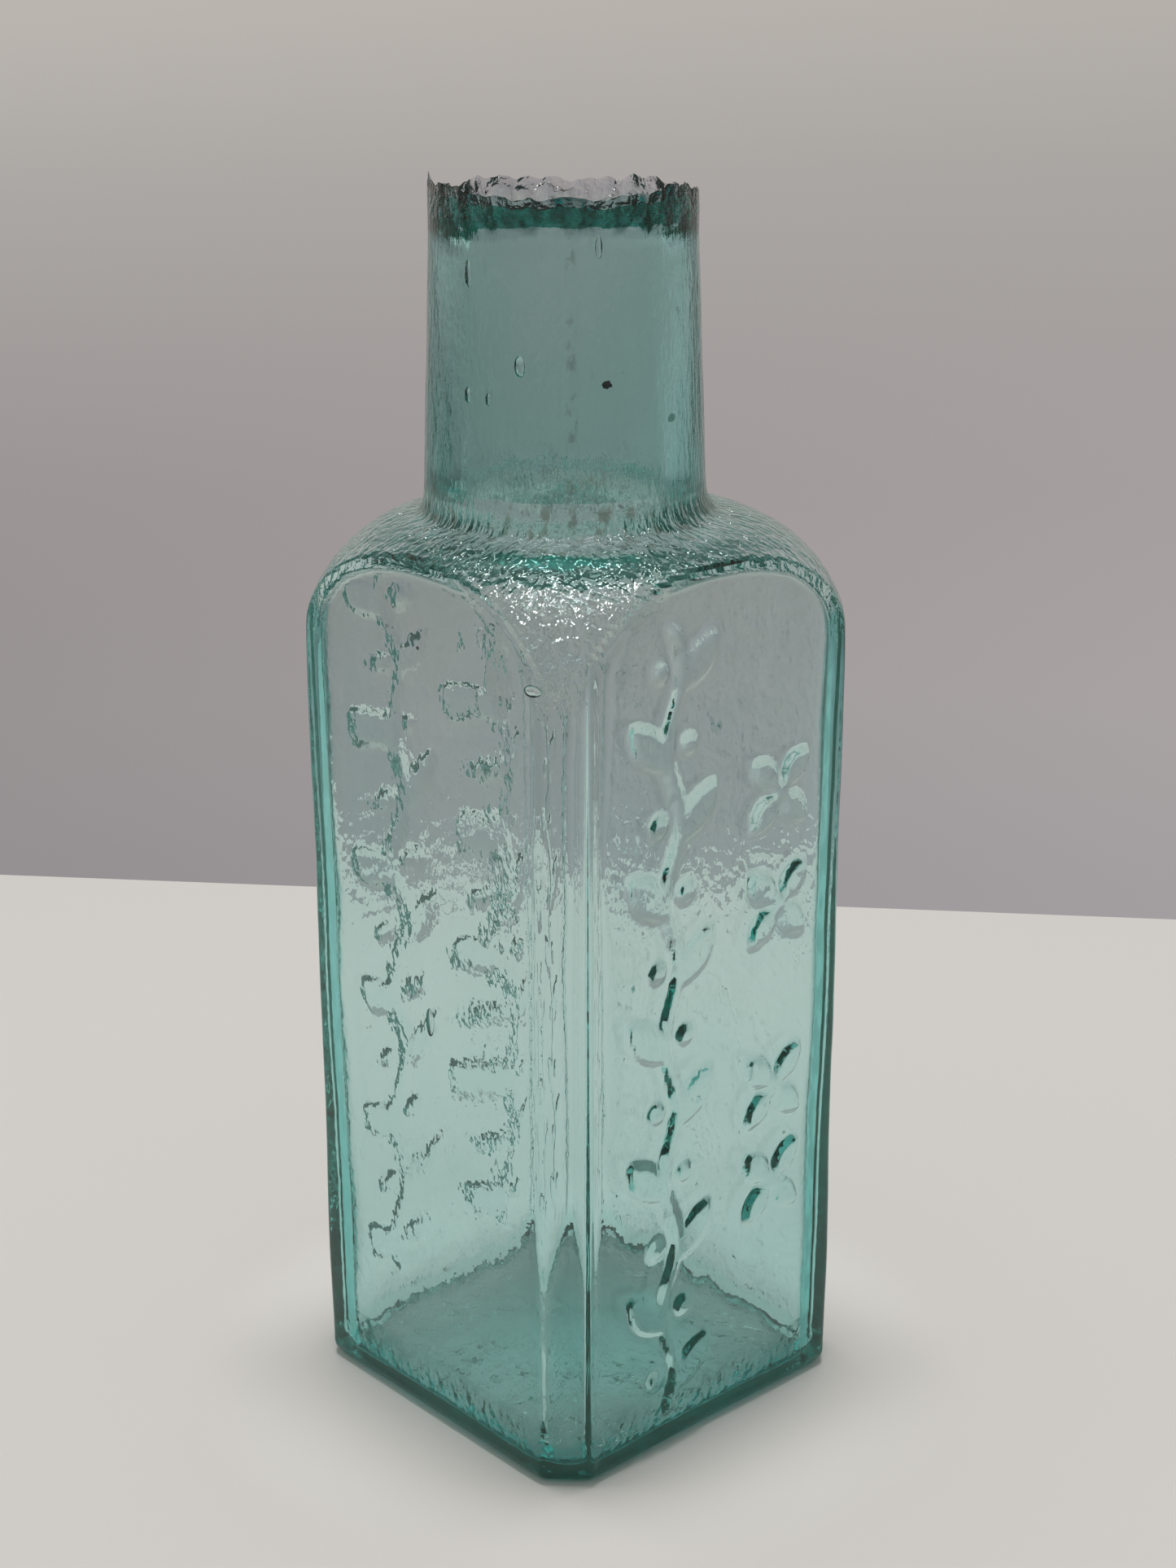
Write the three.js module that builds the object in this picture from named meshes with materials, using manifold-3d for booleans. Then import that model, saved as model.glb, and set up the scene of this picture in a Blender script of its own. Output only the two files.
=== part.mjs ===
// A square mould-blown glass medicine bottle with a domed shoulder, a wide round neck and a lip
// left as it broke off the blowpipe. Millimetres, +Z up. The origin is the centre of the face it
// rests on, and the main embossed panel faces -Y.
//
// The glass is one piece: the cavity is cut out of the blank through the mouth. Raised vines and
// rosettes stand on the front and back panels, and a mould seam runs up two opposite corners.

import * as THREE from "three";
import { mergeVertices } from "three/addons/utils/BufferGeometryUtils.js";
import Module from "manifold-3d";

const wasm = await Module();
wasm.setup();

// Body: a square with its vertical corners cut off flat
const BODY_WIDTH = 40;
const CORNER_CUT = 3.6; // along each face, from the square's corner to the cut
const ARRIS_RADIUS = 0.8; // where a face meets a corner cut
const HEEL_RADIUS = 1.6; // where the walls turn into the base
const SPRING_HEIGHT = 77; // where the corners run into the shoulder

// Shoulder: a quarter ellipse turned about the axis, which leaves an arch on each flat face
const SHOULDER_REACH = 13.65;
const SHOULDER_RISE = 12.9;

// Neck: a slightly tapered tube that stands a little off the body's centre line
const NECK_SHIFT = { x: -0.7, y: 0.6 };
const NECK_TOP_RADIUS = 12.45;
const NECK_BASE_RADIUS = 13.3;
const NECK_BASE_HEIGHT = 92.0;
const NECK_FLARE = 1.5; // how far the fillet at its foot reaches out over the shoulder
const NECK_FLARE_DROP = 0.5; // how far the shoulder has fallen where that fillet starts
const LIP_HEIGHT = 119.2;
const LIP_TAPER_DROP = 4; // the taper ends this far below the lip

// The broken lip: broad rises round the neck and finer teeth, angles in radians from +X
const LIP_SWELLS = [
  { centre: 2.95, spread: 0.42, height: 0.9 },
  { centre: -1.42, spread: 0.3, height: 0.75 },
  { centre: 2.38, spread: 0.09, height: 1.4 },
];
const LIP_TEETH = [
  { waves: 5, start: 1, height: 0.16 },
  { waves: 13, start: 0, height: 0.12 },
  { waves: 29, start: 0, height: 0.1 },
];

// Cavity: the blown wall thins on its way up and is thick again where the shoulder meets the neck
const WALL_AT_FOOT = 2.7;
const WALL_AT_SHOULDER = 1.2;
const WALL_AT_NECK = 2.6;
const FLOOR = 3.2;
const CAVITY_CORNER_CUT = 2.6;
const CAVITY_FLOOR_RADIUS = 3.4;
const BORE_RADIUS = 9.6;
const BORE_FOOT_HEIGHT = 91.5; // the bore widens below this
const BORE_FLARE = 2.4;
const BORE_FLARE_RISE = 9;
const BREAK_DROP = 2.5; // the broken face of the lip slopes down this far towards the bore
const BREAK_EDGE = 0.5; // thickness left at the top of the lip
const FUNNEL_DROP = 2.3; // the bore widens a little this far below the break
const FUNNEL_WIDTH = 0.6;

// Relief on the front and back panels
const RELIEF_HEIGHT = 0.5;
const RELIEF_ROOT = 0.6; // how deep each raised shape is rooted in the wall
const VINE_FOOT = 4.6;
const VINE_LEAVES = 11;
const VINE_PITCH = 7.1;
const VINE_SWAY = 0.9;
const VINE_STEM_WIDTH = 1.3;
const LEAF_LENGTH = 6.6;
const LEAF_WIDTH = 3.2;
const LEAF_ANGLE = THREE.MathUtils.degToRad(42); // away from the stem
const LEAF_OVERLAP = 0.3 * LEAF_LENGTH; // how far below each bend its leaf starts
const BERRY_RADIUS = 0.95;
const BERRY_REACH = 2.7;
const FRONT_VINE_X = -6.3;
const BACK_VINES_X = [-6.9, 6.9];
const ROSETTE_X = 7.5;
const ROSETTE_HEIGHTS = [24.3, 34.5, 53.5, 64.9];
const PETAL_LENGTH = 4.8;
const PETAL_WIDTH = 2.6;
const PETAL_START = 0.3; // from the middle of the rosette
const SEAM_WIDTH = 0.7;
const SEAM_HEIGHT = 0.3;
const SEAM_TURN = Math.PI / 8; // it stands on the arris, between a face and a corner cut

// Facets
const TURN_FACETS = 96;
const BORE_FACETS = 64;
const SHOULDER_STEPS = 10;
const ARC_STEPS = 4;
const MERGE_DISTANCE = 1e-4;

const HALF_WIDTH = BODY_WIDTH / 2;
const CUT_EDGE = HALF_WIDTH - CORNER_CUT; // where a face ends and a corner cut begins
const CORNER_RADIUS = Math.hypot(HALF_WIDTH, CUT_EDGE);
const CLEARANCE = 10; // how far the cutters stand clear of the glass

// --- turning three.js geometry into solids and back ---

function solid(geometry) {
  const bare = geometry.clone();
  bare.deleteAttribute("normal");
  bare.deleteAttribute("uv");
  const merged = mergeVertices(bare, MERGE_DISTANCE);
  const corners = merged.index.array;
  const kept = [];
  for (let i = 0; i < corners.length; i += 3) {
    const [a, b, c] = corners.slice(i, i + 3);
    if (a !== b && b !== c && c !== a) kept.push(a, b, c);
  }
  return new wasm.Manifold(
    new wasm.Mesh({
      numProp: 3,
      vertProperties: Float32Array.from(merged.attributes.position.array),
      triVerts: Uint32Array.from(kept),
    })
  );
}

function geometryOf(body) {
  const mesh = body.getMesh();
  const geometry = new THREE.BufferGeometry();
  geometry.setAttribute("position", new THREE.BufferAttribute(mesh.vertProperties, 3));
  geometry.setIndex(new THREE.BufferAttribute(mesh.triVerts, 1));
  const facets = geometry.toNonIndexed();
  facets.computeVertexNormals();
  return facets;
}

// --- shapes used more than once ---

// The corners of a square with its own corners cut off: half its width, and half of each face left
function cutSquare(half, edge) {
  const corners = [
    [edge, -half],
    [half, -edge],
    [half, edge],
    [edge, half],
    [-edge, half],
    [-half, edge],
    [-half, -edge],
    [-edge, -half],
  ];
  return corners.map(([x, y]) => new THREE.Vector2(x, y));
}

// A closed outline with each corner rounded
function roundedOutline(corners, radius) {
  const shape = new THREE.Shape();
  corners.forEach((corner, i) => {
    const before = corners[(i + corners.length - 1) % corners.length];
    const after = corners[(i + 1) % corners.length];
    const start = corner.clone().add(before.clone().sub(corner).setLength(radius));
    const end = corner.clone().add(after.clone().sub(corner).setLength(radius));
    if (i === 0) shape.moveTo(start.x, start.y);
    else shape.lineTo(start.x, start.y);
    shape.quadraticCurveTo(corner.x, corner.y, end.x, end.y);
  });
  shape.closePath();
  return shape;
}

// A prism that stands on z = bottom with its lower edge rounded
function prism(outline, bottom, top, edgeRadius) {
  const geometry = new THREE.ExtrudeGeometry(outline, {
    depth: top - bottom - 2 * edgeRadius,
    bevelThickness: edgeRadius,
    bevelSize: edgeRadius,
    bevelOffset: -edgeRadius,
    bevelSegments: ARC_STEPS,
    curveSegments: ARC_STEPS,
  });
  return geometry.translate(0, 0, bottom + edgeRadius);
}

// A profile of radius and height turned about a vertical axis
function turned(profile, facets, axis = { x: 0, y: 0 }) {
  const geometry = new THREE.LatheGeometry(profile, facets);
  return geometry.rotateX(Math.PI / 2).translate(axis.x, axis.y, 0);
}

function quarterEllipse(innerRadius, reach, foot, rise) {
  const curve = new THREE.EllipseCurve(innerRadius, foot, reach, rise, 0, Math.PI / 2);
  return curve.getPoints(SHOULDER_STEPS);
}

// --- the blank ---

function bodyBlank() {
  // A turned polygon lies inside its circle, so the part below the shoulder is made that much wider
  const clear = CORNER_RADIUS / Math.cos(Math.PI / TURN_FACETS);
  const shoulder = quarterEllipse(clear - SHOULDER_REACH, SHOULDER_REACH, SPRING_HEIGHT, SHOULDER_RISE);
  const top = SPRING_HEIGHT + SHOULDER_RISE;
  const below = -CLEARANCE;
  const profile = [new THREE.Vector2(0, below), new THREE.Vector2(clear, below), ...shoulder];
  profile.push(new THREE.Vector2(0, top));
  const outline = roundedOutline(cutSquare(HALF_WIDTH, CUT_EDGE), ARRIS_RADIUS);
  const square = solid(prism(outline, 0, top + HEEL_RADIUS * 2, HEEL_RADIUS));
  return square.intersect(solid(turned(profile, TURN_FACETS)));
}

// Height of the broken lip above or below LIP_HEIGHT, by the angle round the neck from +X
function lipBreak(angle) {
  const swell = ({ centre, spread, height }) => {
    const away = Math.atan2(Math.sin(angle - centre), Math.cos(angle - centre));
    return height * Math.exp(-((away / spread) ** 2));
  };
  const swells = LIP_SWELLS.reduce((sum, each) => sum + swell(each), 0);
  const tooth = ({ waves, start, height }) => height * Math.sin(waves * angle + start);
  return LIP_TEETH.reduce((sum, each) => sum + tooth(each), swells);
}

function neckBlank() {
  const foot = SPRING_HEIGHT + SHOULDER_RISE;
  const flare = new THREE.QuadraticBezierCurve(
    new THREE.Vector2(NECK_BASE_RADIUS + NECK_FLARE, foot - NECK_FLARE_DROP),
    new THREE.Vector2(NECK_BASE_RADIUS, foot),
    new THREE.Vector2(NECK_BASE_RADIUS, NECK_BASE_HEIGHT)
  );
  const profile = [
    new THREE.Vector2(0, foot - WALL_AT_NECK / 2),
    new THREE.Vector2(NECK_BASE_RADIUS + NECK_FLARE, foot - WALL_AT_NECK / 2),
    ...flare.getPoints(ARC_STEPS),
    new THREE.Vector2(NECK_TOP_RADIUS, LIP_HEIGHT - LIP_TAPER_DROP),
    new THREE.Vector2(NECK_TOP_RADIUS, LIP_HEIGHT),
    new THREE.Vector2(0, LIP_HEIGHT),
  ];
  const geometry = turned(profile, TURN_FACETS);
  const points = geometry.attributes.position;
  for (let i = 0; i < points.count; i++) {
    const radius = Math.hypot(points.getX(i), points.getY(i));
    if (points.getZ(i) < LIP_HEIGHT - MERGE_DISTANCE || radius < NECK_TOP_RADIUS / 2) continue;
    points.setZ(i, LIP_HEIGHT + lipBreak(Math.atan2(points.getY(i), points.getX(i))));
  }
  return solid(geometry.translate(NECK_SHIFT.x, NECK_SHIFT.y, 0));
}

// --- the cavity, open at the mouth ---

// The room inside the body, its outline parallel to the outside and widening towards the shoulder
function room() {
  const half = HALF_WIDTH - WALL_AT_FOOT;
  const outline = new THREE.Shape(cutSquare(half, half - CAVITY_CORNER_CUT));
  const top = SPRING_HEIGHT + SHOULDER_RISE;
  const geometry = prism(outline, FLOOR, top + CAVITY_FLOOR_RADIUS, CAVITY_FLOOR_RADIUS);
  const widening = (WALL_AT_FOOT - WALL_AT_SHOULDER) / half / SPRING_HEIGHT;
  const points = geometry.attributes.position;
  for (let i = 0; i < points.count; i++) {
    const scale = 1 + widening * points.getZ(i);
    points.setXY(i, points.getX(i) * scale, points.getY(i) * scale);
  }
  const reach = SHOULDER_REACH - WALL_AT_SHOULDER;
  const rise = SHOULDER_RISE - WALL_AT_NECK;
  const dome = [
    new THREE.Vector2(0, 0),
    new THREE.Vector2(CORNER_RADIUS - WALL_AT_SHOULDER, 0),
    ...quarterEllipse(CORNER_RADIUS - SHOULDER_REACH, reach, SPRING_HEIGHT, rise),
    new THREE.Vector2(0, SPRING_HEIGHT + rise),
  ];
  return solid(geometry).intersect(solid(turned(dome, BORE_FACETS)));
}

function bore() {
  const foot = BORE_FOOT_HEIGHT - BORE_FLARE_RISE;
  const flare = new THREE.QuadraticBezierCurve(
    new THREE.Vector2(BORE_RADIUS + BORE_FLARE, foot),
    new THREE.Vector2(BORE_RADIUS, foot + BORE_FLARE_RISE / 2),
    new THREE.Vector2(BORE_RADIUS, BORE_FOOT_HEIGHT)
  );
  const breakFoot = LIP_HEIGHT - BREAK_DROP;
  const profile = [
    new THREE.Vector2(0, foot),
    ...flare.getPoints(ARC_STEPS),
    new THREE.Vector2(BORE_RADIUS, breakFoot - FUNNEL_DROP),
    new THREE.Vector2(BORE_RADIUS + FUNNEL_WIDTH, breakFoot),
    new THREE.Vector2(NECK_TOP_RADIUS - BREAK_EDGE, LIP_HEIGHT),
    new THREE.Vector2(NECK_TOP_RADIUS - BREAK_EDGE, LIP_HEIGHT + CLEARANCE),
    new THREE.Vector2(0, LIP_HEIGHT + CLEARANCE),
  ];
  return solid(turned(profile, BORE_FACETS, NECK_SHIFT));
}

// --- raised relief, drawn on a panel as seen from outside and stood on the front face ---

function raised(shape) {
  const geometry = new THREE.ExtrudeGeometry(shape, {
    depth: RELIEF_ROOT + RELIEF_HEIGHT,
    bevelEnabled: false,
    curveSegments: ARC_STEPS,
  });
  return geometry.rotateX(Math.PI / 2).translate(0, RELIEF_ROOT - HALF_WIDTH, 0);
}

// A pointed oval from its root, length along the given direction from vertical
function leafShape(x, z, angle, length, width) {
  const tip = new THREE.Vector2(x + length * Math.sin(angle), z + length * Math.cos(angle));
  const side = new THREE.Vector2(Math.cos(angle), -Math.sin(angle)).multiplyScalar(width);
  const middle = new THREE.Vector2((x + tip.x) / 2, (z + tip.y) / 2);
  const shape = new THREE.Shape();
  shape.moveTo(x, z);
  shape.quadraticCurveTo(middle.x + side.x, middle.y + side.y, tip.x, tip.y);
  shape.quadraticCurveTo(middle.x - side.x, middle.y - side.y, x, z);
  return shape;
}

function dotShape(x, z, radius) {
  return new THREE.Shape().absarc(x, z, radius, 0, 2 * Math.PI, false);
}

// A stem that sways from side to side, with a leaf on the outside of each bend and a berry opposite
function vine(x) {
  const stemX = (z) => x + VINE_SWAY * Math.sin((Math.PI * (z - VINE_FOOT)) / VINE_PITCH);
  const steps = VINE_LEAVES * ARC_STEPS;
  const stem = new THREE.Shape();
  for (let i = 0; i <= 2 * steps + 1; i++) {
    const back = i > steps;
    const z = VINE_FOOT + ((back ? 2 * steps + 1 - i : i) * VINE_PITCH) / ARC_STEPS;
    const edge = stemX(z) + (back ? -1 : 1) * (VINE_STEM_WIDTH / 2);
    if (i === 0) stem.moveTo(edge, z);
    else stem.lineTo(edge, z);
  }
  stem.closePath();
  const shapes = [stem];
  for (let i = 0; i < VINE_LEAVES; i++) {
    const z = VINE_FOOT + (i + 0.5) * VINE_PITCH;
    const out = i % 2 === 0 ? 1 : -1;
    shapes.push(leafShape(stemX(z), z - LEAF_OVERLAP, out * LEAF_ANGLE, LEAF_LENGTH, LEAF_WIDTH));
    shapes.push(dotShape(stemX(z) - out * BERRY_REACH, z, BERRY_RADIUS));
  }
  return shapes;
}

function rosette(x, z) {
  const shapes = [dotShape(x, z, BERRY_RADIUS)];
  for (let i = 0; i < 4; i++) {
    const angle = Math.PI / 4 + (i * Math.PI) / 2;
    const root = [x + PETAL_START * Math.sin(angle), z + PETAL_START * Math.cos(angle)];
    shapes.push(leafShape(...root, angle, PETAL_LENGTH, PETAL_WIDTH));
  }
  return shapes;
}

function relief() {
  const front = [...vine(FRONT_VINE_X), ...ROSETTE_HEIGHTS.flatMap((z) => rosette(ROSETTE_X, z))];
  const back = BACK_VINES_X.flatMap(vine);
  const pieces = front.map(raised);
  pieces.push(...back.map((shape) => raised(shape).rotateZ(Math.PI)));
  return pieces.map(solid);
}

// A low rib on a vertical edge, where the two halves of the mould met
function seam(sign) {
  const depth = 2 * SEAM_HEIGHT + SEAM_WIDTH;
  const height = SPRING_HEIGHT - 2 * HEEL_RADIUS;
  const rib = new THREE.BoxGeometry(SEAM_WIDTH, depth, height);
  rib.rotateZ(-SEAM_TURN);
  const outward = SEAM_HEIGHT - depth / 2;
  const x = CUT_EDGE + outward * Math.sin(SEAM_TURN);
  const y = HALF_WIDTH + outward * Math.cos(SEAM_TURN);
  return solid(rib.translate(x, y, 2 * HEEL_RADIUS + height / 2).rotateZ(sign > 0 ? 0 : Math.PI));
}

// --- the bottle ---

function bottleGlass() {
  let glass = bodyBlank().add(neckBlank());
  for (const piece of [...relief(), seam(1), seam(-1)]) glass = glass.add(piece);
  return geometryOf(glass.subtract(room().add(bore())));
}

const aquaGlass = new THREE.MeshStandardMaterial({
  color: new THREE.Color(0.5, 0.72, 0.68),
  roughness: 0.08,
  metalness: 0,
  transparent: true,
  opacity: 0.35,
});

const bottle = new THREE.Group();
const glass = new THREE.Mesh(bottleGlass(), aquaGlass);
glass.name = "glass_bottle";
bottle.add(glass);

export default bottle;
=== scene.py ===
"""A square aqua glass medicine bottle with a broken lip, standing on a pale table.

The glass is one closed mesh. It is worked out in millimetres, ring by ring, from the middle of
the base up the outside, over the broken lip and down the inside. Each ring has the same number of
points, so neighbouring rings join into four-sided faces. Air bubbles are voids in the same mesh.
"""

import math

import bpy
import numpy as np
from mathutils import Matrix, Vector


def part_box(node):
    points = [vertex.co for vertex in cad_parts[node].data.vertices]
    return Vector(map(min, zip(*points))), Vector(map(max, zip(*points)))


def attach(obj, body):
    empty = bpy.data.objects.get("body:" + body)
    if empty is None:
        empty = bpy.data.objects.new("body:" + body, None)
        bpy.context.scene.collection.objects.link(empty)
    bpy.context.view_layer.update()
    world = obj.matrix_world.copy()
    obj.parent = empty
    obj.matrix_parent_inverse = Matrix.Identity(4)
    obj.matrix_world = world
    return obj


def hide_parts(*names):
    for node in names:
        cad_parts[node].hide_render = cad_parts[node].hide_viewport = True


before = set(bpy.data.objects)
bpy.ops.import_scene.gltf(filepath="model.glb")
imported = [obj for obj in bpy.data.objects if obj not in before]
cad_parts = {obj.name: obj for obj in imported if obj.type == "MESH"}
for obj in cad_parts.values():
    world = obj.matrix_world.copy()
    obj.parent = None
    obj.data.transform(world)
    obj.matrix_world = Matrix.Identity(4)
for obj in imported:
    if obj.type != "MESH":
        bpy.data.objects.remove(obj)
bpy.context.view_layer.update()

MM = 0.001
BOTTLE_NODE = "glass_bottle"

# --- sizes, in millimetres ---

low_corner, high_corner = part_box(BOTTLE_NODE)
HALF_WIDTH = (high_corner.x - low_corner.x) / 2 / MM
RELIEF_HEIGHT = (high_corner.y - low_corner.y) / 2 / MM - HALF_WIDTH
TOP = high_corner.z / MM

# Body: a square with its vertical corners cut off flat
CORNER_CUT = 3.6
CUT_EDGE = HALF_WIDTH - CORNER_CUT
CORNER_RADIUS = math.hypot(HALF_WIDTH, CUT_EDGE)
CUT_DISTANCE = (HALF_WIDTH + CUT_EDGE) / math.sqrt(2)
ARRIS_SOFTNESS = 0.16
HEEL_RADIUS = 1.6
PUSH_UP = 1.6
BASE_RING_PARTS = (0.15, 0.3, 0.45, 0.6, 0.72, 0.83, 0.92, 1)
BASE_UNEVENNESS = 0.06
BASE_GAP = 0.02
SPRING_HEIGHT = 77

# Shoulder and neck
SHOULDER_REACH = 13.65
SHOULDER_RISE = 12.9
SHOULDER_SOFTNESS = 0.16
DOME_MARGIN = 0.4  # how far the dome starts outside the body's corners
NECK_SHIFT = (-0.7, 0.6)
SHIFT_START = 86.5  # above here the shoulder leans over to the neck's own axis
NECK_TOP_RADIUS = 12.45
NECK_BASE_RADIUS = 13.3
NECK_BASE_HEIGHT = 92.0
NECK_FLARE = 1.5
LIP_HEIGHT = 119.2
LIP_FOOT = LIP_HEIGHT - 4

# Cavity
WALL_AT_FOOT = 2.7
WALL_AT_SHOULDER = 1.2
WALL_AT_NECK = 2.6
FLOOR = 0.9  # at the edge
FLOOR_RISE = 4.2  # how much higher the floor stands in the middle
CAVITY_SOFTNESS = 0.45
FAR_CORNER_SOFTNESS = 0.75
FOOT_CURVE_RISE = 1.6  # the wall's inside bends into the floor over this height
FOOT_CURVE_REACH = 1.6
BORE_RADIUS = 9.6
DOME_TOP_TURN = math.radians(74)  # how far up the shoulder its inside follows the outside
BORE_FOOT_HEIGHT = 91.5
BREAK_DROP = 2.5
RIM_SWELLS = [(2.95, 0.42, 0.9), (-1.42, 0.3, 0.75), (2.38, 0.09, 1.4)]  # angle, spread and height
SCALLOPS = 150
SCALLOP_SEED = 5
SCALLOP_DEPTH = 0.9
FUNNEL_DROP = 2.3  # the bore widens this far below the break
FUNNEL_WIDTH = 0.6

# Relief on the front and back panels
EDGE_SLOPE = 0.5
VINE_FOOT = 4.6
VINE_LEAVES = 11
VINE_PITCH = 7.1
VINE_SWAY = 0.9
VINE_STEM_WIDTH = 1.3
LEAF_LENGTH = 6.6
LEAF_WIDTH = 3.2
LEAF_ANGLE = math.radians(42)
LEAF_OVERLAP = 0.3 * LEAF_LENGTH
BERRY_RADIUS = 0.95
BERRY_REACH = 2.7
FRONT_VINE_X = -6.3
BACK_VINES_X = (-6.9, 6.9)
ROSETTE_X = 7.5
ROSETTE_HEIGHTS = (24.3, 34.5, 53.5, 64.9)
PETAL_LENGTH = 4.8
PETAL_WIDTH = 2.6
PETAL_START = 0.3
SEAM_WIDTH = 0.7
SEAM_HEIGHT = 0.3
SEAM_SLOPE = 0.35
NECK_SEAM_SHARE = 0.22  # how much of its height the seam keeps on the neck
SEAM_ANGLE = math.atan2(HALF_WIDTH, CUT_EDGE)

# Bubbles: the angle round the neck, then height, width and length
NECK_BUBBLES = [
    (-117, 115.1, 0.6, 2.0),
    (-177, 112.6, 0.7, 2.5),
    (-151, 104.8, 1.0, 1.9),
    (-177, 101.9, 0.8, 1.5),
    (-166, 101.7, 0.5, 1.2),
]
# and in the left face: the centre, the way it faces, then width and length
FACE_BUBBLES = [
    (-19.0, -0.7, 43.1, 180, 1.2, 2.9),
    (-19.3, -15.9, 79.0, 202, 1.7, 1.1),
]

BUBBLE_SHIFT = 0.4  # outwards from the middle of the neck's wall
BUBBLE_DEPTH = 0.45

# How finely the mesh is divided
RELIEF_SPACING = 0.45
PLAIN_SPACING = 1.4
CUT_SPACING = 0.6
ARRIS_ZONE = 0.5
ARRIS_SPACING = 0.15
FINE_STEP = 0.01
WALL_STEP = 0.44
HEEL_ROWS = 9
SHOULDER_ROWS = 30
NECK_STEP = 0.85
LIP_ROWS = 10
CRISP_LIP_ROWS = 2  # the rows of faces outside the rim that are left flat, as the broken face is
BREAK_ROWS = 8
BORE_ROWS = 22
CAVITY_DOME_ROWS = 18
CAVITY_WALL_ROWS = 22
FOOT_CURVE_ROWS = 12
FLOOR_RING_PARTS = (0.93, 0.84, 0.74, 0.64, 0.53, 0.42, 0.3, 0.18, 0.07)

FRONT, RIGHT, BACK, LEFT = -math.pi / 2, 0.0, math.pi / 2, math.pi
FRONT_CORNER = -0.75 * math.pi
FAR_SIDE = math.radians(48)  # the part of the lip where most flakes have come away


# --- smooth random surfaces ---


def lattice(i, j, k, seed):
    """A repeatable number from -1 to 1 for each whole-number point."""
    mixed = (i * 73856093) ^ (j * 19349663) ^ (k * 83492791) ^ (seed * 40503)
    mixed = mixed & 0xFFFFFFFF
    mixed = ((mixed ^ (mixed >> 15)) * 0x2C1B3C6D) & 0xFFFFFFFF
    mixed = ((mixed ^ (mixed >> 12)) * 0x297A2D39) & 0xFFFFFFFF
    mixed ^= mixed >> 15
    return mixed / 0x7FFFFFFF - 1


def ripple(points, size, seed):
    """Smooth noise from about -1 to 1. size, one number or one per axis, is how far apart hills are."""
    scaled = points / np.asarray(size, float)
    cell = np.floor(scaled).astype(np.int64)
    part = scaled - cell
    ease = part * part * part * (part * (part * 6 - 15) + 10)
    total = np.zeros(points.shape[:-1])
    for corner in np.ndindex(2, 2, 2):
        share = np.ones(points.shape[:-1])
        for axis in range(3):
            share = share * (ease[..., axis] if corner[axis] else 1 - ease[..., axis])
        i, j, k = (cell[..., axis] + corner[axis] for axis in range(3))
        total += share * lattice(i, j, k, seed)
    return total


def soft_step(value):
    """0 below 0, 1 above 1, and a smooth rise between."""
    clipped = np.clip(value, 0, 1)
    return clipped * clipped * (3 - 2 * clipped)


def soft_min(values, softness):
    """The smallest of several arrays, with a rounded change from one to the next."""
    least = np.minimum.reduce(values)
    return least - softness * np.log(sum(np.exp((least - value) / softness) for value in values))


# --- relief, as signed distances inside its outline, drawn on a panel seen from outside ---


def dot_inside(x, z, centre, radius):
    return radius - np.hypot(x - centre[0], z - centre[1])


def leaf_inside(x, z, root, angle, length, width):
    """A pointed oval from its root, at the given angle from vertical."""
    along = (x - root[0]) * math.sin(angle) + (z - root[1]) * math.cos(angle)
    across = (x - root[0]) * math.cos(angle) - (z - root[1]) * math.sin(angle)
    part = np.clip(along / length, 0, 1)
    outside = np.maximum(np.maximum(-along, along - length), 0)
    return 2 * width * part * (1 - part) - np.abs(across) - outside


def vine_inside(x, z, middle):
    """A stem that sways, with a leaf on the outside of each bend and a berry opposite."""

    def stem_x(height):
        return middle + VINE_SWAY * np.sin(np.pi * (height - VINE_FOOT) / VINE_PITCH)

    top = VINE_FOOT + VINE_LEAVES * VINE_PITCH
    beyond = np.maximum(np.maximum(VINE_FOOT - z, z - top), 0)
    inside = VINE_STEM_WIDTH / 2 - np.hypot(0.93 * (x - stem_x(z)), beyond)
    for i in range(VINE_LEAVES):
        height = VINE_FOOT + (i + 0.5) * VINE_PITCH
        out = 1 if i % 2 == 0 else -1
        root = (stem_x(height), height - LEAF_OVERLAP)
        inside = np.maximum(inside, leaf_inside(x, z, root, out * LEAF_ANGLE, LEAF_LENGTH, LEAF_WIDTH))
        berry = (stem_x(height) - out * BERRY_REACH, height)
        inside = np.maximum(inside, dot_inside(x, z, berry, BERRY_RADIUS))
    return inside


def rosette_inside(x, z, height):
    inside = dot_inside(x, z, (ROSETTE_X, height), BERRY_RADIUS)
    for i in range(4):
        angle = math.pi / 4 + i * math.pi / 2
        root = (ROSETTE_X + PETAL_START * math.sin(angle), height + PETAL_START * math.cos(angle))
        inside = np.maximum(inside, leaf_inside(x, z, root, angle, PETAL_LENGTH, PETAL_WIDTH))
    return inside


def raised(inside):
    return RELIEF_HEIGHT * soft_step(inside / EDGE_SLOPE + 0.5)


def front_relief(x, z):
    motifs = [vine_inside(x, z, FRONT_VINE_X)]
    motifs += [rosette_inside(x, z, height) for height in ROSETTE_HEIGHTS]
    return raised(np.maximum.reduce(motifs))


def back_relief(x, z):
    return raised(np.maximum.reduce([vine_inside(x, z, middle) for middle in BACK_VINES_X]))


# --- the outside in plan: how far the glass reaches from its axis at an angle and a height ---


def seam_rise(angle, radius):
    """The mould seam, a low ridge up two opposite corners."""
    rise = 0
    for centre in (SEAM_ANGLE, SEAM_ANGLE - math.pi):
        away = np.angle(np.exp(1j * (angle - centre))) * radius
        rise = rise + soft_step((SEAM_WIDTH / 2 - np.abs(away)) / SEAM_SLOPE + 0.5)
    return SEAM_HEIGHT * rise


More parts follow.
